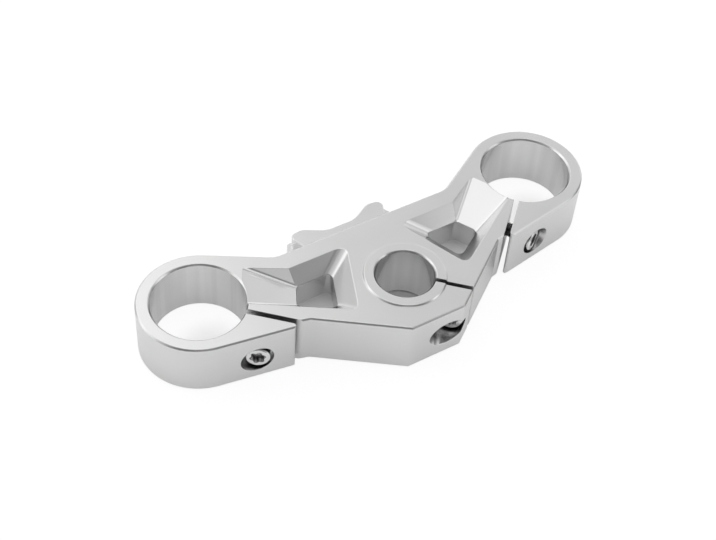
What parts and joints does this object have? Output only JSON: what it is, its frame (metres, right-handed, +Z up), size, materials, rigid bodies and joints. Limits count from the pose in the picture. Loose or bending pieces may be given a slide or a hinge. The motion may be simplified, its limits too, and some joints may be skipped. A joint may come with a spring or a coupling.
{
  "type": "motorcycle triple clamp",
  "caption": "Top triple clamp that ties a motorcycle's fork legs to its steering stem, machined from billet with split clamp bores, pinch screws, milled arm pockets and a low front flange.",
  "frame": {"origin": "on the steering stem's axis, in the plane of the flat underside", "axes": "+X along the line of the fork legs towards the right leg, +Y towards the front of the motorcycle, +Z up along the stem"},
  "size_m": [0.272, 0.1048, 0.033],
  "materials": {
    "billet": "fine machined, uncoated",
    "screw_steel": "satin, zinc plated"
  },
  "bodies": {
    "root": {"clamp_body": "billet", "pinch_screws": "screw_steel"}
  },
  "joints": []
}
